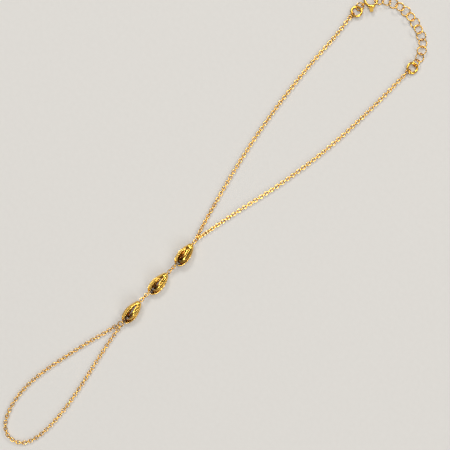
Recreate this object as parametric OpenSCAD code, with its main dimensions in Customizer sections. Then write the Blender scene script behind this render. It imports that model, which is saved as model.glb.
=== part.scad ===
// Hand chain bracelet, laid out flat on a surface: a finger loop and a wrist loop of
// fine cable chain, joined by three open teardrop castings, with a spring ring clasp
// and an extender chain. Millimetres, +Z up, finger loop towards -Y, clasp towards +Y.
// The origin is the middle of the outline, on the surface that the piece lies on.

/* [Cable chain] */
// Distance between the centres of neighbouring links
link_pitch = 1.065; // [1.05:0.005:1.08]
// Thickness of a link's wire
link_wire = 0.28; // [0.26:0.01:0.29]
// Width of a link over its wire
link_width = 1.26; // [1.24:0.01:1.3]
// Play between two links that hang in each other
link_play = 0.12; // [0.11:0.01:0.14]

/* [Drops] */
// Length of a casting's outer loop, from tip to foot, on its centre line
drop_length = 9.15; // [9:0.05:9.3]
// Half width of the outer loop, on its centre line
drop_half_width = 2.05; // [2:0.05:2.2]
// Width of the outer loop's flat strip at the foot
strip_width = 1.05; // [0.9:0.05:1.2]
// Thickness of the flat strips
strip_thickness = 0.32; // [0.28:0.01:0.36]
// Outer diameter of the eye at the tip and of the eye at the foot
eye_outer = 1.12; // [1.1:0.01:1.15]
// Thickness of the eyes' wire
eye_wire = 0.28; // [0.26:0.01:0.29]

/* [Rings] */
// Outer diameter of the ring that carries both ends of the finger chain
loop_ring_outer = 2.05; // [2:0.05:2.2]
// Wire of that ring
loop_ring_wire = 0.35; // [0.33:0.01:0.36]
// Outer diameter of the ring where the two wrist strands meet
junction_outer = 2; // [1.9:0.05:2.1]
// Wire of the junction ring and of the two jump rings
jump_wire = 0.3; // [0.28:0.01:0.32]
// Outer diameter of the jump rings between strands and end rings
jump_outer = 2.1; // [2.05:0.05:2.2]
// Outer diameter of the closed end rings
end_ring_outer = 4.1; // [4:0.05:4.2]
// Wire of the end rings
end_ring_wire = 0.8; // [0.75:0.01:0.85]
// Outer diameter of the ring between the left end ring and the clasp
clasp_ring_outer = 3; // [2.9:0.05:3.1]
// Wire of that ring
clasp_ring_wire = 0.4; // [0.36:0.01:0.42]

/* [Clasp] */
// Outer diameter of the spring ring
clasp_outer = 4.9; // [4.8:0.05:5]
// Outer diameter of its hollow tube
clasp_tube = 0.84; // [0.8:0.01:0.88]
// Bore of the tube, where the gate slides
clasp_bore = 0.54; // [0.5:0.01:0.56]
// Diameter of the gate's curved pin
gate_pin = 0.4; // [0.36:0.01:0.42]
// How far the gate slides back to open, in degrees
gate_travel = 30; // [26:1:30]
// Distance from the clasp's centre to the end of the thumb knob
knob_reach = 4; // [3.8:0.1:4.2]

/* [Extender] */
// Outer diameter of an extender link
extender_outer = 3.3; // [3.25:0.05:3.35]
// Wire of an extender link
extender_wire = 0.35; // [0.32:0.01:0.36]
// Outer diameter of the smaller link next to the right end ring
last_link_outer = 2.75; // [2.7:0.05:2.8]

/* [Hidden] */
extender_count = 12;
extender_names = [for (i = [1 : extender_count + 1]) str("extender_link_", i < 10 ? "0" : "", i)];
connector_names = ["connector_upper_1", "connector_upper_2", "connector_upper_3",
                   "connector_lower_1", "connector_lower_2", "connector_lower_3"];
outline_shift = [0.2, 0.02, 0];
$fn = 48;
gold = "#E2AE45";
pale_gold = "#F0C96A";
deep_gold = "#C98F2E";

// Heights and half sizes that follow from the chain's own wire
link_length = link_pitch + 2 * link_wire + link_play;
link_reach = link_length / 2 - link_wire;
chain_height = link_width / 2;
ring_radius = function(outer, wire) (outer - wire) / 2;
jump_radius = ring_radius(jump_outer, jump_wire);
junction_radius = ring_radius(junction_outer, jump_wire);
eye_radius = ring_radius(eye_outer, eye_wire);
clasp_radius = ring_radius(clasp_outer, clasp_tube);

// A point at a distance from another one, along a heading in plan and a slope
function ahead(at, heading, slope, d) =
    at + d * [cos(heading) * cos(slope), sin(heading) * cos(slope), sin(slope)];
function heading_of(v) = atan2(v[1], v[0]);
function slope_of(v) = asin(v[2] / norm(v));

// Smooth route through points: each span is a cubic whose ends follow the neighbours
function span_point(a, b, c, d, t) =
    b + t / 2 * ((c - a) + t * ((2 * a - 5 * b + 4 * c - d) + t * (3 * b - 3 * c + d - a)));
function smooth(p, steps) = [
    for (i = [0 : len(p) - 2], j = [0 : steps - 1])
        span_point(p[max(i - 1, 0)], p[i], p[i + 1], p[min(i + 2, len(p) - 1)], j / steps),
    p[len(p) - 1]
];
function running_length(q) = [
    for (i = 0, s = 0; i < len(q); s = s + (i < len(q) - 1 ? norm(q[i + 1] - q[i]) : 0), i = i + 1) s
];
function track(q) =
    let (s = running_length(q))
    [for (k = [0 : 2]) [for (i = [0 : len(q) - 1]) [s[i], q[i][k]]]];
function track_length(t) = t[0][len(t[0]) - 1][0];
function track_point(t, s) = [for (k = [0 : 2]) lookup(s, t[k])];
function track_direction(t, s) = track_point(t, s + link_pitch / 4) - track_point(t, s - link_pitch / 4);

// The three castings, from the wrist side to the finger side: roll about the long axis,
// slope from tip to foot, heading, and the height at which the belly rests
drop_rows = [
    ["roll", "slope", "heading", "rest"],
    [10, 3, -84.3, 1.86],
    [0, 2, -89.4, 1.71],
    [-4, -5, -85.6, 1.8],
];
drop_middle_at = 5.5;
first_tip = [-0.55, -8.15];
tip_eye_at = 0.3;
foot_eye_at = [9.54, -0.42];
cap_offset = -0.1;
link_from_eye = link_reach - (eye_outer - eye_wire - link_wire) / 2;
connector_span = 2 * (link_pitch + link_from_eye);
function drop_turned(k, p) =
    let (
        r = drop_rows[k][0],
        s = drop_rows[k][1],
        h = drop_rows[k][2],
        side = p[1] * cos(r),
        along = cos(s) * p[0] - sin(s) * sin(r) * p[1]
    )
    [cos(h) * along - sin(h) * side, sin(h) * along + cos(h) * side, sin(s) * p[0] + cos(s) * sin(r) * p[1]];
function tip_height(k) = drop_rows[k][3] - drop_middle_at * sin(drop_rows[k][1]);
function tip_wire(k) = drop_tip(k) + drop_turned(k, [tip_eye_at - eye_radius, 0]);
function foot_wire(k) = drop_tip(k) + drop_turned(k, [foot_eye_at[0] + eye_radius, foot_eye_at[1]]);
function drop_tip(k) = k == 1
    ? [first_tip[0], first_tip[1], tip_height(k)]
    : let (foot = foot_wire(k - 1), drop = tip_height(k) - foot[2])
        [foot[0], foot[1] - sqrt(pow(connector_span, 2) - pow(drop, 2)), tip_height(k)]
        - drop_turned(k, [tip_eye_at - eye_radius, 0]);

// From the upper casting's tip to the two strands: one link, then the junction ring
junction_heading = 95;
junction_slope = -14;
junction_from_wire = link_from_eye + link_reach - link_play - jump_wire / 2 + junction_radius;
strand_from_wire = junction_from_wire + junction_radius + link_reach - link_play - jump_wire / 2;
strand_start = ahead(tip_wire(1), junction_heading, junction_slope, strand_from_wire);

// End rings, and the jump rings that hang the strands on them
end_left = [-13.3, 84.5, 0.77];
end_right = [12.9, 83.4, 0.77];
end_left_heading = 88;
end_right_heading = 84;
strand_from_jump = jump_radius + link_reach - link_play - jump_wire / 2;
jump_left = end_left + [-0.23, -1.9, 0.01];
jump_right = end_right + [-0.22, -1.85, -0.01];
loop_ring_offset = [0, -0.415, -0.14];

// Routes of the chains, in plan and height
left_route = concat(
    [for (v = [[-0.26, -0.03, 0.32], [-0.61, 0.98, 0.14], [-0.98, 1.99, -0.02]]) strand_start + v],
    [[-2.9, 0.9, chain_height], [-5.3, 10.9, chain_height], [-7.5, 21, chain_height],
     [-9.4, 31.5, chain_height], [-10.9, 42.2, chain_height], [-12, 53.3, chain_height],
     [-12.6, 63.5, chain_height], [-12.9, 74, chain_height]],
    [ahead(jump_left, end_left_heading + 180, -1, strand_from_jump)]);
right_route = concat(
    [for (v = [[0.27, -0.1, -0.18], [0.58, 0.91, -0.24], [0.87, 1.93, -0.28]]) strand_start + v],
    [[0.9, 0.3, chain_height], [3.4, 10.9, chain_height], [6.2, 21.6, chain_height],
     [8.4, 31.7, chain_height], [10.1, 41.6, chain_height], [11.3, 51.5, chain_height],
     [12, 61.5, chain_height], [12.4, 71.5, chain_height]],
    [ahead(jump_right, end_right_heading + 180, -4, strand_from_jump)]);
finger_route = [
    [-1, -45.42], [-1.7, -49], [-3.6, -55.9], [-5.6, -63.4], [-7.4, -71], [-8.4, -77.2], [-8.6, -82.2],
    [-8.1, -87.2], [-6.7, -91.8], [-4.6, -95], [-1.8, -96.5], [1.1, -96.2], [3.4, -94.7], [5, -91.6],
    [5.8, -87.5], [6, -82.5], [5.5, -75.2], [4.3, -67.2], [2.8, -59.2], [1.5, -52], [0.42, -45.42]
];

// Extender: the first link hangs in the clasp, the small last one in the right end ring
clasp_at = [-12.4, 90.5, 0.88];
clasp_lean = -8;
eye_angle = 252;
clasp_eye_from_centre = 3.02;
first_extender_at = [-10.36, 92.27, 1.02];
extender_height = 0.77;
last_link_at = end_right + [-0.24, 2.05, 0.14];
extender_route = concat(
    [first_extender_at],
    [[-8.2, 93.8, extender_height], [-3.9, 95.4, extender_height], [1.1, 95.4, extender_height],
     [5.7, 94.1, extender_height], [9.9, 91.7, extender_height]],
    [[12.34, 87.6, extender_height]]);
extender_roll = 22;

// Angles round the clasp, anticlockwise from +X, with the gate shut
tube_start = 23;
tube_sweep = 333;
slot_start = 277;
slot_sweep = 46;
pin_start = 306;
pin_sweep = 79;
knob_angle = 315;
saddle_start = 291;
saddle_sweep = 54;
slot_width = 0.4;
stem_width = 0.28;
saddle_inner = clasp_outer / 2 + 0.1;
saddle_outer = saddle_inner + 0.2;
saddle_height = 0.7;
knob_width = 1.5;
knob_end_width = 1.05;
knob_thickness = 0.5;
clasp_eye_outer = 1.5;
clasp_eye_wire = 0.35;

// A piece put down with its own +X along the heading and slope, rolled about that line
module placed(at, heading, slope = 0, roll = 0)
    translate(at) rotate([0, 0, heading]) rotate([0, -slope, 0]) rotate([roll, 0, 0]) children();

module ring(outer, wire)
    rotate_extrude() translate([(outer - wire) / 2, 0]) circle(d = wire);

// One oval link: two half rings joined by two straight wires, long axis on X
module cable_link() {
    bend = (link_width - link_wire) / 2;
    straight = link_length - link_width;
    for (side = [0, 180]) rotate(side) {
        translate([straight / 2, 0, 0]) rotate(-90)
            rotate_extrude(angle = 180) translate([bend, 0]) circle(d = link_wire);
        translate([-straight / 2, bend, 0]) rotate([0, 90, 0]) cylinder(d = link_wire, h = straight);
    }
}

// A strand of loose links along a route: they stand nearly on edge and lie flat in turn, and
// near the junction they are still twisted, because the first one lies flat in its ring
module strand(route) {
    t = track([for (p = smooth(route, 8)) [p[0], p[1], max(p[2], chain_height)]]);
    count = round(track_length(t) / link_pitch) + 1;
    step = track_length(t) / (count - 1);
    rest_roll = 82;
    start_roll = 152;
    untwisted_after = 8;
    for (i = [0 : count - 1]) {
        d = track_direction(t, i * step);
        roll = rest_roll + (start_roll - rest_roll) * exp(-i / untwisted_after) + 90 * (i % 2);
        placed(track_point(t, i * step), heading_of(d), slope_of(d), roll) cable_link();
    }
}

module wrist_chain_left() color(gold) strand(left_route);

module wrist_chain_right() color(gold) strand(right_route);

// Faces of a swept tube: count rings of side points each, with flat ends
function tube_faces(count, sides) = concat(
    [for (i = [0 : count - 2], j = [0 : sides - 1])
        [i * sides + j, i * sides + (j + 1) % sides, (i + 1) * sides + (j + 1) % sides, (i + 1) * sides + j]],
    [[for (j = [sides - 1 : -1 : 0]) j]],
    [[for (j = [0 : sides - 1]) (count - 1) * sides + j]]);

// The finger chain as one tube of the links' width: it runs from ring to ring round the finger
module finger_chain() {
    sides = 8;
    line = smooth([for (p = finger_route) [p[0], p[1], chain_height]], 2);
    last = len(line) - 1;
    points = [
        for (i = [0 : last])
            let (d = line[min(i + 1, last)] - line[max(i - 1, 0)], out = [d[1], -d[0], 0] / norm(d))
            for (j = [0 : sides - 1])
                line[i] + link_width / 2 * (cos(360 * (j + 0.5) / sides) * out
                    + sin(360 * (j + 0.5) / sides) * [0, 0, 1]) / cos(180 / sides)
    ];
    color(gold) polyhedron(points, tube_faces(last + 1, sides));
}

module loop_ring() color(pale_gold)
    placed(foot_wire(3) + loop_ring_offset, -85, -12, 0) ring(loop_ring_outer, loop_ring_wire);

// A teardrop on its centre line: angle 0 is the tip, 180 the foot
strip_tip = 0.3;
strip_from = 0.42;
strip_tip_width = 0.65;
function teardrop(a, length, half) =
    let (s = (1 - cos(a)) / 2)
    [strip_tip + (length - strip_tip) * s,
     (a < 180 ? 1 : -1) * half * pow(s, 0.75) * sqrt(max(0, 1 - s)) / 0.4312];

// One flat strip bent to a teardrop, its ends buried in the cap. It turns about the long axis
// from the first turn to the second on its way round, and widens from the tip to the foot
module strip_loop(turns, length, half, width, steps) {
    start = acos(1 - 2 * strip_from / (length - strip_tip));
    sides = 6;
    points = [
        for (i = [0 : steps])
            let (
                a = start + (360 - 2 * start) * i / steps,
                turn = turns[0] + (turns[1] - turns[0]) * i / steps,
                c = teardrop(a, length, half),
                d = teardrop(a + 1, length, half) - teardrop(a - 1, length, half),
                out = [-d[1], d[0]] / norm(d),
                w = (strip_tip_width + (width - strip_tip_width) * sin(a / 2)) / 2,
                h = strip_thickness / 2,
                rim = [[-h, -0.7 * w], [-h, 0.7 * w], [0, w], [h, 0.7 * w], [h, -0.7 * w], [0, -w]]
            )
            for (p = rim)
                let (y = c[1] + p[0] * out[1])
                [c[0] + p[0] * out[0], y * cos(turn) - p[1] * sin(turn), y * sin(turn) + p[1] * cos(turn)]
    ];
    polyhedron(points, tube_faces(steps + 1, sides));
}

// An eye of round wire, standing upright
module cast_eye()
    rotate([90, 0, 0]) rotate_extrude() translate([eye_radius, 0]) circle(d = eye_wire);

// Solid tip where the strips come together: half widths against distance from the tip
module drop_cap() {
    profile = [[0, 0.58], [0.42, 0.58], [0.64, 0.68], [0.86, 0.9], [1.04, 1.2], [1.16, 1.6], [1.14, 2],
               [0.86, 2.32], [0, 2.5]];
    translate([0, cap_offset, 0]) rotate([0, 90, 0]) rotate_extrude($fn = 20) polygon(profile);
}

// Four nested loops, each shorter than the last: one lies flat, one is raised on either side,
// and the innermost stands nearly upright
module drop_casting() {
    loops = [
        ["turns", "length", "half width", "strip width", "steps"],
        [[0, 0], drop_length, drop_half_width, strip_width, 38],
        [[-36, -36], drop_length - 0.49, drop_half_width - 0.16, strip_width + 0.45, 36],
        [[44, 44], drop_length - 1.15, drop_half_width - 0.32, strip_width + 0.35, 34],
        [[-126, -98], drop_length - 2.15, drop_half_width - 0.7, strip_width - 0.25, 30],
    ];
    for (i = [1 : 4]) strip_loop(loops[i][0], loops[i][1], loops[i][2], loops[i][3], loops[i][4]);
    drop_cap();
    translate([tip_eye_at, 0, 0]) cast_eye();
    translate([foot_eye_at[0], foot_eye_at[1], 0]) cast_eye();
}

module drop(k) color(gold)
    placed(drop_tip(k), drop_rows[k][2], drop_rows[k][1], drop_rows[k][0]) drop_casting();

// Three links between the foot of one casting and the tip of the next
module connector(k, i) {
    v = tip_wire(k + 1) - foot_wire(k);
    rolls = [[28, 112, 190], [26, 110, 188]];
    at = foot_wire(k) + v / 2 + (i - 1) * link_pitch * v / norm(v);
    color(gold) placed(at, heading_of(v), slope_of(v), rolls[k - 1][i]) cable_link();
}

module tip_link() color(gold)
    placed(ahead(tip_wire(1), junction_heading, junction_slope, link_from_eye),
        junction_heading, junction_slope, -28) cable_link();

module junction_ring() color(pale_gold)
    placed(ahead(tip_wire(1), junction_heading, junction_slope, junction_from_wire),
        98, -11, 62) ring(junction_outer, jump_wire);

module jump_ring_left() color(pale_gold)
    placed(jump_left, 101, 12, 43) ring(jump_outer, jump_wire);

module jump_ring_right() color(pale_gold)
    placed(jump_right, 86, 1, -42) ring(jump_outer, jump_wire);

module end_ring_left() color(gold)
    placed(end_left, end_left_heading, 0, -12) ring(end_ring_outer, end_ring_wire);

module end_ring_right() color(gold)
    placed(end_right, end_right_heading, 0, 10) ring(end_ring_outer, end_ring_wire);

module clasp_ring() color(pale_gold)
    placed([-13.56, 86.38, 0.85], 96, 10, 26.5) ring(clasp_ring_outer, clasp_ring_wire);

module on_clasp() translate(clasp_at)
    rotate(a = clasp_lean, v = -[cos(eye_angle), sin(eye_angle), 0]) children();

// Spring ring: a hollow tube bent round, open between its ends, slotted for the gate's
// stem, with an upright eye soldered on
module clasp_body() color(deep_gold) on_clasp() difference() {
    union() {
        rotate(tube_start) rotate_extrude(angle = tube_sweep)
            translate([clasp_radius, 0]) circle(d = clasp_tube);
        rotate(eye_angle) translate([clasp_eye_from_centre, 0, 0]) rotate([90, 0, 0])
            ring(clasp_eye_outer, clasp_eye_wire);
    }
    rotate_extrude() translate([clasp_radius, 0]) circle(d = clasp_bore);
    rotate(slot_start) rotate_extrude(angle = slot_sweep)
        translate([clasp_radius, -slot_width / 2]) square([clasp_tube, slot_width]);
}

// Gate: a curved pin that closes the gap, and the thumb knob that rides outside the slot
module clasp_gate() color(pale_gold) on_clasp() union() {
    rotate(pin_start) rotate_extrude(angle = pin_sweep) translate([clasp_radius, 0]) circle(d = gate_pin);
    rotate(knob_angle) {
        translate([clasp_radius, 0, 0]) rotate([0, 90, 0])
            cylinder(d = stem_width, h = saddle_outer - clasp_radius);
        translate([0, 0, -knob_thickness / 2]) linear_extrude(knob_thickness)
            polygon([[saddle_inner + 0.05, -knob_width / 2], [knob_reach, -knob_end_width / 2],
                     [knob_reach, knob_end_width / 2], [saddle_inner + 0.05, knob_width / 2]]);
    }
    rotate(saddle_start) rotate_extrude(angle = saddle_sweep)
        translate([saddle_inner, -saddle_height / 2]) square([saddle_outer - saddle_inner, saddle_height]);
}

// Round extender links, leaning to one side and the other in turn
module extender_link(i) {
    t = track(smooth(extender_route, 8));
    s = track_length(t) / (extender_count - 1) * (i - 1);
    d = track_direction(t, s);
    roll = i % 2 == 1 ? extender_roll : -extender_roll;
    color(gold)
        if (i == 1) placed(first_extender_at, 46, 3, 34.5)
            ring(extender_outer, extender_wire);
        else if (i <= extender_count) placed(track_point(t, s), heading_of(d), 0, roll)
            ring(extender_outer, extender_wire);
        else placed(last_link_at, -79, -4, 37)
            ring(last_link_outer, extender_wire);
}

// Everything is drawn round the middle casting's line; this puts the outline's middle at zero
module centred() translate(outline_shift) children();

centred() finger_chain();
centred() loop_ring();
centred() drop(1);  // drop_upper
centred() drop(2);  // drop_middle
centred() drop(3);  // drop_lower
for (i = [0 : 5])
    centred() connector(i < 3 ? 1 : 2, i % 3);
centred() tip_link();
centred() junction_ring();
centred() wrist_chain_left();
centred() wrist_chain_right();
centred() jump_ring_left();
centred() jump_ring_right();
centred() end_ring_left();
centred() end_ring_right();
centred() clasp_ring();
centred() clasp_body();
centred() clasp_gate();
for (i = [1 : extender_count + 1])
    centred() extender_link(i);
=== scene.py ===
"""Hand chain bracelet in gold-plated brass, laid out on a pale table top.

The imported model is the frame. This script gives its metal a plated finish, draws the finger chain's
links in place of their tube, and puts smooth polished castings in place of the faceted ones.
Lengths are in millimetres until a mesh is placed, and in metres after that.
"""

import math

import bmesh
import bpy
from mathutils import Matrix, Vector


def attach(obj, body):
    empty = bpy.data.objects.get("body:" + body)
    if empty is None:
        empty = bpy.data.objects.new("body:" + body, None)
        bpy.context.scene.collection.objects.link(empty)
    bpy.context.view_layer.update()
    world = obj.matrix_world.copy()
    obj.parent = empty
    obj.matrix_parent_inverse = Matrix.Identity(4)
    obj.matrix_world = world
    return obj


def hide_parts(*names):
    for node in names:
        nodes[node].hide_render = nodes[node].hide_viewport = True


MM = 0.001
# brings the middle of the piece's outline over the origin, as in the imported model
OUTLINE_SHIFT = Vector((0.2, 0.02, 0.0))

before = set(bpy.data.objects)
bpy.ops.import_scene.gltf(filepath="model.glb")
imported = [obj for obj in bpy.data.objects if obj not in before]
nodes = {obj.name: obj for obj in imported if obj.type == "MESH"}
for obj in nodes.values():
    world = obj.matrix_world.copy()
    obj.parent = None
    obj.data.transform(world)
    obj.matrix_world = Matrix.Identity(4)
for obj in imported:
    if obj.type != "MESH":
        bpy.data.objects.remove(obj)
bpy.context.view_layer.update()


# Camera: straight above, turned so that the piece lies on the diagonal

VIEW_TURN = 43.0
VIEW_AIM = Vector((3.2, 3.32, 1.0))
VIEW_WIDTH = 148.5
LENS = 85.0
SENSOR = 36.0

camera_data = bpy.data.cameras.new("camera")
camera_data.lens = LENS
camera_data.sensor_width = SENSOR
camera_data.clip_start = 0.01
camera = bpy.data.objects.new("camera", camera_data)
bpy.context.scene.collection.objects.link(camera)
camera.location = (VIEW_AIM + Vector((0, 0, VIEW_WIDTH * LENS / SENSOR))) * MM
camera.rotation_euler = (0, 0, math.radians(VIEW_TURN))
bpy.context.scene.camera = camera
bpy.context.scene.view_settings.view_transform = "Standard"


# Materials

def linear(hex_colour):
    """An sRGB hex colour as a linear RGBA value."""
    parts = [int(hex_colour[i:i + 2], 16) / 255 for i in (1, 3, 5)]
    return [c / 12.92 if c <= 0.04045 else ((c + 0.055) / 1.055) ** 2.4 for c in parts] + [1.0]


def add_node(tree, kind, inputs=None, **settings):
    """Adds a node; an input is either a value or another node's output."""
    node = tree.nodes.new(kind)
    for name, value in settings.items():
        setattr(node, name, value)
    for socket, value in (inputs or {}).items():
        if isinstance(value, bpy.types.NodeSocket):
            tree.links.new(value, node.inputs[socket])
        else:
            node.inputs[socket].default_value = value
    return node


def pattern_scale(size):
    """The scale that makes a noise's cells this many millimetres across."""
    return 1 / (size * MM)


def new_material(name):
    material = bpy.data.materials.new(name)
    material.use_nodes = True
    material.node_tree.nodes.clear()
    return material, material.node_tree


def gold_plate(name, bright, deep, roughness, dull, recess_shade=None):
    """Gold flash over polished brass under clear lacquer: a warm mirror with a faint cloud of
    thicker and thinner plating, fine wheel marks, a duller finish and a painted shade, dark brown,
    in the recesses, and the lacquer's own white glints on top."""
    material, tree = new_material(name)
    place = add_node(tree, "ShaderNodeTexCoord").outputs["Object"]
    # the plating's cloud is about 2.5 mm across
    cloud = add_node(tree, "ShaderNodeTexNoise", {"Vector": place, "Scale": pattern_scale(2.5),
                                                  "Detail": 3.0, "Roughness": 0.55}).outputs["Fac"]
    cloud_band = add_node(tree, "ShaderNodeMapRange", {"Value": cloud, "From Min": 0.35, "From Max": 0.65,
                                                       "To Min": 0.0, "To Max": 0.35}).outputs["Result"]
    plate = add_node(tree, "ShaderNodeMix", {"Factor": cloud_band, "A": linear(bright), "B": linear(deep)},
                     data_type="RGBA")
    colour = plate.outputs["Result"]
    # wheel marks are some hundredths of a millimetre apart, drawn at an eighth so that they show
    marks = add_node(tree, "ShaderNodeTexNoise", {"Vector": place, "Scale": pattern_scale(0.125),
                                                  "Detail": 2.0, "Roughness": 0.6}).outputs["Fac"]
    shine = add_node(tree, "ShaderNodeMapRange", {"Value": marks, "From Min": 0.3, "From Max": 0.7,
                                                  "To Min": roughness, "To Max": dull}).outputs["Result"]
    if recess_shade:
        # the castings carry how deep each point lies under their outer outline
        depth = add_node(tree, "ShaderNodeAttribute", attribute_name="recess_shade").outputs["Fac"]
        # painted shade: the deeper a point lies, the more its colour turns to the dark brown, standing in
        # for the shade in the recesses
        recess_shaded = add_node(tree, "ShaderNodeMix", {"Factor": depth, "A": colour, "B": linear(recess_shade)},
                        data_type="RGBA")
        colour = recess_shaded.outputs["Result"]
        shine = add_node(tree, "ShaderNodeMath", {0: depth, 1: 0.10, 2: shine},
                         operation="MULTIPLY_ADD").outputs["Value"]
    bump = add_node(tree, "ShaderNodeBump", {"Height": marks, "Strength": 0.05, "Distance": 0.00002})
    shader = add_node(tree, "ShaderNodeBsdfPrincipled", {
        "Base Color": colour, "Metallic": 1.0, "Roughness": shine, "Normal": bump.outputs["Normal"],
        "Coat Weight": 0.6, "Coat Roughness": 0.08})
    add_node(tree, "ShaderNodeOutputMaterial", {"Surface": shader.outputs["BSDF"]})
    return material


def matte_table_top():
    """Painted board under the piece: pale, plain and matt, with a trace of the roller's texture."""
    material, tree = new_material("matte_painted_board")
    place = add_node(tree, "ShaderNodeTexCoord").outputs["Object"]
    # a short-pile roller leaves a texture of about 1.4 mm
    grain = add_node(tree, "ShaderNodeTexNoise", {"Vector": place, "Scale": pattern_scale(1.4),
                                                  "Detail": 4.0})
    tone = add_node(tree, "ShaderNodeMix", {"Factor": grain.outputs["Fac"], "A": linear("#C7C4BF"),
                                            "B": linear("#CCC9C4")}, data_type="RGBA")
    bump = add_node(tree, "ShaderNodeBump", {"Height": grain.outputs["Fac"], "Strength": 0.08,
                                             "Distance": 0.0001})
    shader = add_node(tree, "ShaderNodeBsdfPrincipled", {
        "Base Color": tone.outputs["Result"], "Roughness": 0.75, "Normal": bump.outputs["Normal"]})
    add_node(tree, "ShaderNodeOutputMaterial", {"Surface": shader.outputs["BSDF"]})
    return material


# the castings' dark brown #8A5A14 is painted shade for their recesses
casting_gold = gold_plate("gold_plated_brass_casting", "#FACB57", "#E2A534", 0.10, 0.17, "#8A5A14")
chain_gold = gold_plate("gold_plated_brass_chain", "#F3BE52", "#DCA138", 0.12, 0.20)
wire_gold = gold_plate("gold_plated_brass_wire", "#EDB640", "#CF962A", 0.11, 0.18)
clasp_gold = gold_plate("gold_plated_brass_clasp", "#F7C654", "#DFA93A", 0.11, 0.17)

CHAINS = ("wrist_chain_left", "wrist_chain_right", "tip_link", "connector_")
CLASP = ("clasp_body", "clasp_gate")


def metal_of(name):
    """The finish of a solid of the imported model, by its name."""
    if name.startswith(CHAINS):
        return chain_gold
    if name in CLASP:
        return clasp_gold
    return wire_gold


for name, node in nodes.items():
    node.data.materials.clear()
    node.data.materials.append(metal_of(name))


# Making shapes

def placed(at, heading, slope=0.0, roll=0.0):
    """The place of a piece with its own +X along the heading and slope, rolled about that line."""
    return (Matrix.Translation(at) @ Matrix.Rotation(math.radians(heading), 4, "Z")
            @ Matrix.Rotation(math.radians(-slope), 4, "Y") @ Matrix.Rotation(math.radians(roll), 4, "X"))


def sweep(bm, places, sides, closed, flatten=1.0):
    """Runs a round section, in the YZ plane of each place, from the first place to the last. A
    flatten below 1 swells the section a little toward a square."""
    ring = bmesh.ops.create_circle(bm, segments=sides, radius=1.0,
                                   matrix=Matrix.Rotation(math.pi / 2, 4, "Y"))
    verts = ring["verts"]
    for v in verts:
        v.co.y = math.copysign(abs(v.co.y) ** flatten, v.co.y)
        v.co.z = math.copysign(abs(v.co.z) ** flatten, v.co.z)
    edges = list({e for v in verts for e in v.link_edges})
    bmesh.ops.transform(bm, matrix=places[0], verts=verts)
    first = edges
    for last, here in zip(places, places[1:]):
        grown = bmesh.ops.extrude_edge_only(bm, edges=edges)["geom"]
        verts = [g for g in grown if isinstance(g, bmesh.types.BMVert)]
        edges = [g for g in grown if isinstance(g, bmesh.types.BMEdge)]
        bmesh.ops.transform(bm, matrix=here @ last.inverted(), verts=verts)
    if closed:
        bmesh.ops.bridge_loops(bm, edges=first + edges)
    else:
        bmesh.ops.edgeloop_fill(bm, edges=first)
        bmesh.ops.edgeloop_fill(bm, edges=edges)


def finish_mesh(bm, name):
    """Turns a closed mesh's faces outwards and makes it a mesh with smooth shading, still in mm."""
    bmesh.ops.recalc_face_normals(bm, faces=bm.faces)
    for face in bm.faces:
        face.smooth = True
    mesh = bpy.data.meshes.new(name)
    bm.to_mesh(mesh)
    bm.free()
    return mesh


def new_piece(name, mesh, material):
    mesh.materials.clear()
    mesh.materials.append(material)
    piece = bpy.data.objects.new(name, mesh)
    bpy.context.scene.collection.objects.link(piece)
    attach(piece, "bracelet")
    return piece


# The finger chain's link, as in the wrist strands: two half rings and two short straights of wire

LINK_PITCH = 1.065
LINK_WIRE = 0.28
LINK_WIDTH = 1.26
LINK_LENGTH = 1.745
CHAIN_HEIGHT = LINK_WIDTH / 2


def link_mesh(bend_steps=7, sides=8):
    """One link, lying flat with its length along X."""
    bend = (LINK_WIDTH - LINK_WIRE) / 2
    half = (LINK_LENGTH - LINK_WIDTH) / 2
    places = []
    for end, start in ((half, -90), (-half, 90)):
        for i in range(bend_steps + 1):
            a = math.radians(start + 180 * i / bend_steps)
            spot = Vector((end + bend * math.cos(a), bend * math.sin(a), 0))
            turn = Matrix.Rotation(a + math.pi / 2, 4, "Z")
            places.append(Matrix.Translation(spot) @ turn @ Matrix.Scale(LINK_WIRE / 2, 4))
    bm = bmesh.new()
    sweep(bm, places, sides, closed=True)
    return finish_mesh(bm, "cable_link")


# The finger chain's route, with both ends in the loop ring: x, y and z
FINGER_ROUTE = [
    (-0.44, -45.18, 0.98), (-0.83, -46.23, 0.8), (-1.12, -47.4, 0.63), (-1.7, -49.6, 0.63),
    (-3.6, -55.9, 0.63), (-5.6, -63.4, 0.63), (-7.4, -71, 0.63), (-8.4, -77.2, 0.63), (-8.6, -82.2, 0.63),
    (-8.1, -87.2, 0.63), (-6.7, -91.8, 0.63), (-4.6, -95, 0.63), (-1.8, -96.5, 0.63), (1.1, -96.2, 0.63),
    (3.4, -94.7, 0.63), (5, -91.6, 0.63), (5.8, -87.5, 0.63), (6, -82.5, 0.63), (5.5, -75.2, 0.63),
    (4.3, -67.2, 0.63), (2.8, -59.2, 0.63), (1.5, -52, 0.63), (0.95, -48.3, 0.63), (0.76, -46.2, 0.8),
    (0.63, -45.13, 0.98),
]


def smooth_line(points, steps):
    """Points on the smooth cubic through the route's points."""
    p = [Vector(q) for q in points]
    line = []
    for i in range(len(p) - 1):
        a, b, c, d = p[max(i - 1, 0)], p[i], p[i + 1], p[min(i + 2, len(p) - 1)]
        for j in range(steps):
            t = j / steps
            bend = 2 * a - 5 * b + 4 * c - d
            spot = b + t / 2 * ((c - a) + t * (bend + t * (3 * b - 3 * c + d - a)))
            # the cubic swings a little below the table where the route comes down to it
            spot.z = max(spot.z, CHAIN_HEIGHT)
            line.append(spot)
    return line + [p[-1]]


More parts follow.
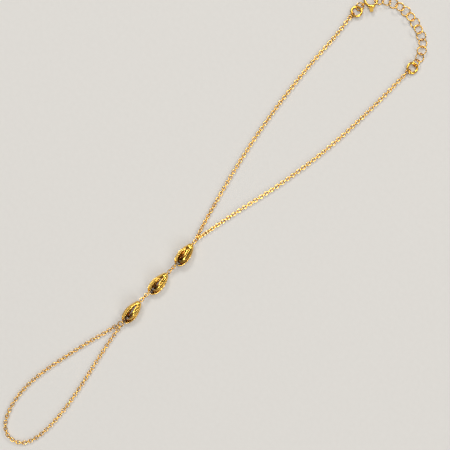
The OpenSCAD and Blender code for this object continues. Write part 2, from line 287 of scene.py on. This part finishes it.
def spaced(line, count):
    """Count places at equal steps along a line, each with its direction."""
    reach = [0.0]
    for a, b in zip(line, line[1:]):
        reach.append(reach[-1] + (b - a).length)

    def at(s):
        s = min(max(s, 0.0), reach[-1])
        k = next(i for i in range(1, len(reach)) if reach[i] >= s)
        return line[k - 1].lerp(line[k], (s - reach[k - 1]) / (reach[k] - reach[k - 1]))

    step = reach[-1] / (count - 1)
    quarter = step / 4
    return [(at(i * step), at(i * step + quarter) - at(i * step - quarter)) for i in range(count)]


# How the finger chain's links are turned about the chain's line, in degrees: nearly on edge, fully
# on edge at both ends, and swaying a little from link to link
REST_ROLL = 82
END_TWIST = 8
END_TWIST_LINKS = 3
SWAY = 4
SWAY_STEP = 2.4


def line_length(line):
    return sum((b - a).length for a, b in zip(line, line[1:]))


def finger_chain_links():
    """Loose links along the route: they stand nearly on edge and lie flat in turn, and the two
    end links stand on edge, because they hang in a ring that lies flat."""
    link = link_mesh()
    line = smooth_line(FINGER_ROUTE, steps=10)
    # an odd count, so that both end links are turned alike
    count = 2 * round((line_length(line) / LINK_PITCH + 1) / 2 - 0.5) + 1
    bm = bmesh.new()
    for i, (spot, way) in enumerate(spaced(line, count)):
        from_end = min(i, count - 1 - i)
        roll = REST_ROLL + END_TWIST * math.exp(-from_end / END_TWIST_LINKS) + 90 * (i % 2)
        roll += SWAY * math.sin(SWAY_STEP * i)
        heading = math.degrees(math.atan2(way.y, way.x))
        slope = math.degrees(math.asin(way.z / way.length))
        before = len(bm.verts)
        bm.from_mesh(link)
        bm.verts.ensure_lookup_table()
        bmesh.ops.transform(bm, matrix=placed(spot + OUTLINE_SHIFT, heading, slope, roll),
                            verts=bm.verts[before:])
    bmesh.ops.scale(bm, vec=(MM, MM, MM), verts=bm.verts)
    piece = new_piece("finger_chain_links", finish_mesh(bm, "finger_chain_links"), chain_gold)
    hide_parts("finger_chain")


finger_chain_links()


# The castings: four flat strips bent to nested teardrops, run together in a cap at the tip.
# Along is measured from the tip, across from the long axis.

STRIP_THICKNESS = 0.32
# the power that swells a strip's oval section a little toward a square
STRIP_SECTION = 0.92
# where the teardrops' curves begin, and how much farther along their strips do
STRIP_TIP = 0.3
STRIP_FROM = 0.42
STRIP_TIP_WIDTH = 0.65
# along, across
TIP_EYE_AT = (0.3, 0)
FOOT_EYE_AT = (9.54, -0.42)
EYE_RADIUS = 0.42
EYE_WIRE = 0.28
CAP_OFFSET = -0.1
# greatest value of the teardrop's own curve, which scales it to a loop's half width
CURVE_WIDEST = 0.4312
# the painted shade of the recesses, with a duller finish, begins this far out from the long axis, as a
# share of the outline, and deepens over this share
RECESS_FROM = 0.98
RECESS_FADE = 0.45
# turns about the long axis at a strip's two ends, length, half width, width at the foot
LOOPS = [
    (0, 0, 9.15, 2.05, 1.05),
    (-36, -36, 8.66, 1.89, 1.5),
    (44, 44, 8.0, 1.73, 1.4),
    (-126, -98, 7.0, 1.35, 0.8),
]
# half width, distance from the tip
CAP = [
    (0.42, 0.58), (0.64, 0.68), (0.86, 0.9), (1.04, 1.2),
    (1.16, 1.6), (1.14, 2.0), (0.86, 2.32), (0.3, 2.48),
]
# node, tip, heading, slope, roll
DROPS = [
    ("drop_upper", (-0.55, -8.15, 1.572), -84.3, 3, 10),
    ("drop_middle", (0.028, -20.921, 1.522), -89.4, 2, 0),
    ("drop_lower", (-0.279, -33.722, 2.269), -85.6, -5, -4),
]


def half_width_at(s, half):
    """How far a teardrop reaches across at s, which is 0 at its tip and 1 at its foot."""
    return half * s ** 0.75 * math.sqrt(max(0, 1 - s)) / CURVE_WIDEST


def teardrop(a, length, half):
    """A point on a strip's centre line: angle 0 is the tip, half a turn the foot."""
    s = (1 - math.cos(a)) / 2
    side = 1 if a < math.pi else -1
    return Vector((STRIP_TIP + (length - STRIP_TIP) * s, side * half_width_at(s, half), 0))


def strip(bm, turn_from, turn_to, length, half, width, steps=72):
    """One flat strip from the cap round the foot and back, turning as it goes."""
    start = math.acos(1 - 2 * STRIP_FROM / (length - STRIP_TIP))
    a_little = 0.02
    places = []
    for i in range(steps + 1):
        a = start + (2 * math.pi - 2 * start) * i / steps
        way = teardrop(a + a_little, length, half) - teardrop(a - a_little, length, half)
        turn = math.radians(turn_from + (turn_to - turn_from) * i / steps)
        half_width = (STRIP_TIP_WIDTH + (width - STRIP_TIP_WIDTH) * math.sin(a / 2)) / 2
        places.append(Matrix.Rotation(turn, 4, "X") @ Matrix.Translation(teardrop(a, length, half))
                      @ Matrix.Rotation(math.atan2(way.y, way.x), 4, "Z")
                      @ Matrix.Diagonal((1, STRIP_THICKNESS / 2, half_width, 1)))
    sweep(bm, places, 16, closed=False, flatten=STRIP_SECTION)


def eye(bm, at, steps=20):
    """A ring of wire in the plane of the long axis and the casting's height."""
    places = []
    for i in range(steps):
        a = 2 * math.pi * i / steps
        spot = Vector((at[0] + EYE_RADIUS * math.cos(a), at[1], EYE_RADIUS * math.sin(a)))
        turn = Matrix.Rotation(-a - math.pi / 2, 4, "Y")
        places.append(Matrix.Translation(spot) @ turn @ Matrix.Scale(EYE_WIRE / 2, 4))
    sweep(bm, places, 12, closed=True)


def cap(bm):
    """The solid tip that the strips run into, thick in the middle and round in section."""
    places = []
    for half_width, along in CAP:
        places.append(Matrix.Translation((along, CAP_OFFSET, 0))
                      @ Matrix.Diagonal((1, half_width, half_width, 1)))
    sweep(bm, places, 32, closed=False)


def casting_mesh(voxel=0.06):
    """The strips, cap and eyes melted into one skin, as they leave the mould and the polisher."""
    bm = bmesh.new()
    for loop in LOOPS:
        strip(bm, *loop)
    cap(bm)
    eye(bm, TIP_EYE_AT)
    eye(bm, FOOT_EYE_AT)
    rough = bpy.data.objects.new("casting_pattern", finish_mesh(bm, "casting_pattern"))
    bpy.context.scene.collection.objects.link(rough)
    melt = rough.modifiers.new("melt", "REMESH")
    melt.mode = "VOXEL"
    melt.voxel_size = voxel
    even = rough.modifiers.new("polish", "SMOOTH")
    even.iterations = 4
    even.factor = 0.5
    depsgraph = bpy.context.evaluated_depsgraph_get()
    mesh = bpy.data.meshes.new_from_object(rough.evaluated_get(depsgraph))
    bpy.data.objects.remove(rough)
    return mesh


def mark_recesses(mesh):
    """Keeps, for each point, how deep it lies under the casting's outline: 0 outside, 1 deep; this sets
    the painted shade and the duller finish.
    """
    depth = mesh.attributes.new("recess_shade", "FLOAT", "POINT")
    length, half = LOOPS[0][2:4]
    for v, value in zip(mesh.vertices, depth.data):
        s = min(max((v.co.x - STRIP_TIP) / (length - STRIP_TIP), 0.02), 0.98)
        outline = max(half_width_at(s, half), EYE_RADIUS + EYE_WIRE / 2)
        out = math.hypot(v.co.y, v.co.z) / outline
        value.value = min(max((RECESS_FROM - out) / RECESS_FADE, 0.0), 1.0)


pattern = casting_mesh()
mark_recesses(pattern)
for node_name, tip, heading, slope, roll in DROPS:
    mesh = pattern.copy()
    place = placed(Vector(tip) + OUTLINE_SHIFT, heading, slope, roll)
    mesh.transform(Matrix.Scale(MM, 4) @ place)
    for polygon in mesh.polygons:
        polygon.use_smooth = True
    casting = new_piece(node_name + "_casting", mesh, casting_gold)
    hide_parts(node_name)
bpy.data.meshes.remove(pattern)


# Table top and studio light: boxes high above and two strips that give the metal its long glints

def table_top():
    bm = bmesh.new()
    bmesh.ops.create_grid(bm, x_segments=2, y_segments=2, size=10)
    top = bpy.data.objects.new("table_top", finish_mesh(bm, "table_top"))
    top.data.materials.append(matte_table_top())
    bpy.context.scene.collection.objects.link(top)


def soft_light(name, at, size, power):
    """A white light box, turned toward the piece; metres and watts."""
    light = bpy.data.lights.new(name, "AREA")
    light.shape = "RECTANGLE"
    light.size, light.size_y = size
    light.energy = power
    lamp = bpy.data.objects.new(name, light)
    bpy.context.scene.collection.objects.link(lamp)
    lamp.location = at
    lamp.rotation_euler = (-Vector(at)).to_track_quat("-Z", "Y").to_euler()


table_top()
soft_light("ceiling_softbox", (-0.5, 0.25, 5.0), (5.5, 5.5), 52.0)
soft_light("overhead_softbox", (-0.25, 0.15, 4.0), (1.0, 1.0), 40.0)
soft_light("key_softbox", (-2.1, 0.8, 2.5), (0.9, 0.9), 40.0)
soft_light("back_strip", (0.25, 3.0, 2.1), (2.5, 0.6), 50.0)
soft_light("side_strip", (2.5, -0.7, 2.2), (0.6, 2.25), 37.5)
world = bpy.data.worlds.new("studio")
world.use_nodes = True
world.node_tree.nodes["Background"].inputs["Color"].default_value = linear("#F4F1EC")
world.node_tree.nodes["Background"].inputs["Strength"].default_value = 0.18
bpy.context.scene.world = world

bpy.context.view_layer.update()
